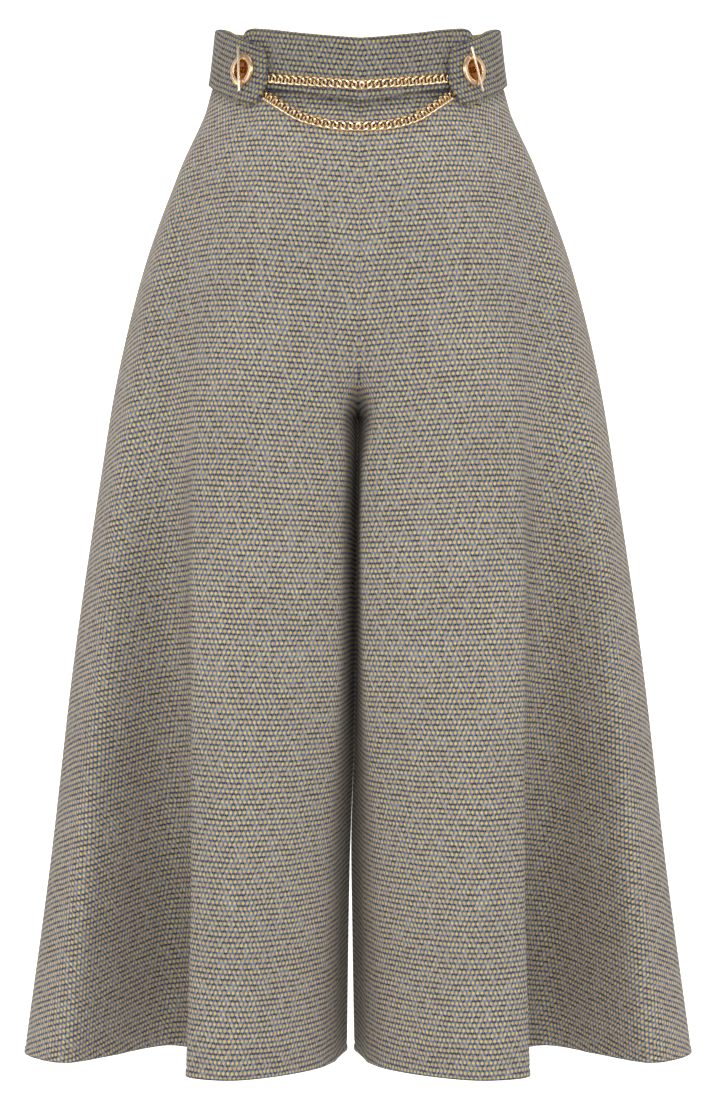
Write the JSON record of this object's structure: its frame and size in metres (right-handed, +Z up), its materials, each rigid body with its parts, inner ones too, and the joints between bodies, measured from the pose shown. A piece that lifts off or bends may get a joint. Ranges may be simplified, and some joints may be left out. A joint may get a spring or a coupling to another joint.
{
  "type": "wide-leg culotte shorts",
  "caption": "High-waisted, mid-calf wide-leg culottes in thick tweed, hollow as worn, with belt tabs, ring-and-bar toggles and hanging curb chains.",
  "frame": {"origin": "middle of the waist opening, 25 mm above the waist seam at the sides, where the wearer holds it up", "axes": "+Z up, the front faces -Y, +X to the wearer's left"},
  "size_m": [0.534, 0.3016, 0.8159],
  "materials": {
    "tweed": "thick basket-weave tweed, pale yellow dots on blue grey",
    "band_tweed": "the same tweed, interfaced",
    "tab_tweed": "the same tweed, doubled",
    "gold_hardware": "polished pale gold plate",
    "chain_gold": "polished gold plate"
  },
  "bodies": {
    "root": {"front_left": "tweed", "front_right": "tweed", "back_left": "tweed", "back_right": "tweed", "waistband_front": "band_tweed", "waistband_back": "band_tweed", "tab_left": "tab_tweed", "tab_right": "tab_tweed", "ring_left": "gold_hardware", "ring_right": "gold_hardware", "toggle_left": "gold_hardware", "toggle_right": "gold_hardware", "post_left": "gold_hardware", "post_right": "gold_hardware", "chain_upper": "chain_gold", "chain_lower": "chain_gold"}
  },
  "joints": []
}
